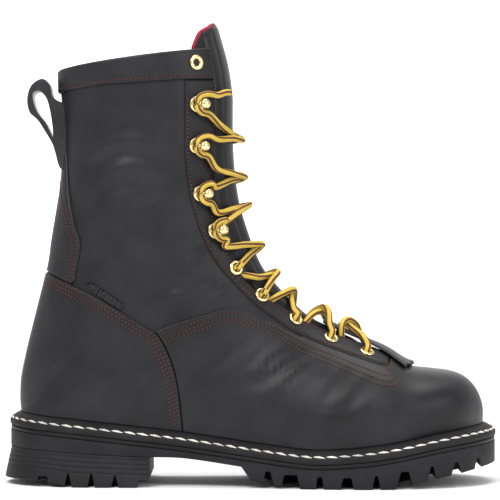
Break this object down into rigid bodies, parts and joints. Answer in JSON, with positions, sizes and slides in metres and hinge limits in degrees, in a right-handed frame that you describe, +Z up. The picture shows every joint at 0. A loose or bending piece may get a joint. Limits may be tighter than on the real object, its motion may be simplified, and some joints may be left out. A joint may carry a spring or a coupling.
{
  "type": "logger boot",
  "caption": "Tall laced leather logger boot with a high heel, lug sole, kiltie, lace hooks, heel counter and pull loop.",
  "frame": {"origin": "middle of the heel's flat rest on the floor", "axes": "+X to the toe, +Z up, +Y to the medial side of the right foot"},
  "size_m": [0.3064, 0.1171, 0.2853],
  "materials": {
    "upper_leather": "satin black oiled leather",
    "insole_leather": "plain tan leather",
    "welt_rubber": "grained black rubber",
    "sole_rubber": "matt black rubber",
    "fitting_brass": "pale polished brass",
    "lace_cord": "braided yellow cord with dark stripes"
  },
  "bodies": {
    "root": {"upper": "upper_leather", "vamp": "upper_leather", "heel_counter": "upper_leather", "cuff": "upper_leather", "eyestay_lateral": "upper_leather", "eyestay_medial": "upper_leather", "back_stay": "upper_leather", "side_tab": "upper_leather", "kiltie": "upper_leather", "tongue": "upper_leather", "insole": "insole_leather", "welt": "welt_rubber", "midsole": "sole_rubber", "outsole": "sole_rubber", "heel": "sole_rubber", "eyelet_1_lateral": "fitting_brass", "eyelet_2_lateral": "fitting_brass", "eyelet_3_lateral": "fitting_brass", "eyelet_4_lateral": "fitting_brass", "eyelet_5_lateral": "fitting_brass", "cuff_eyelet_lateral": "fitting_brass", "hook_1_lateral": "fitting_brass", "hook_2_lateral": "fitting_brass", "hook_3_lateral": "fitting_brass", "hook_4_lateral": "fitting_brass", "eyelet_1_medial": "fitting_brass", "eyelet_2_medial": "fitting_brass", "eyelet_3_medial": "fitting_brass", "eyelet_4_medial": "fitting_brass", "eyelet_5_medial": "fitting_brass", "cuff_eyelet_medial": "fitting_brass", "hook_1_medial": "fitting_brass", "hook_2_medial": "fitting_brass", "hook_3_medial": "fitting_brass", "hook_4_medial": "fitting_brass", "lace_cross_1": "lace_cord", "lace_cross_2": "lace_cord", "lace_cross_3": "lace_cord", "lace_cross_4": "lace_cord", "lace_cross_5": "lace_cord", "lace_cross_6": "lace_cord", "lace_cross_7": "lace_cord", "lace_cross_8": "lace_cord", "lace_end_lateral": "lace_cord", "lace_end_medial": "lace_cord"}
  },
  "joints": []
}
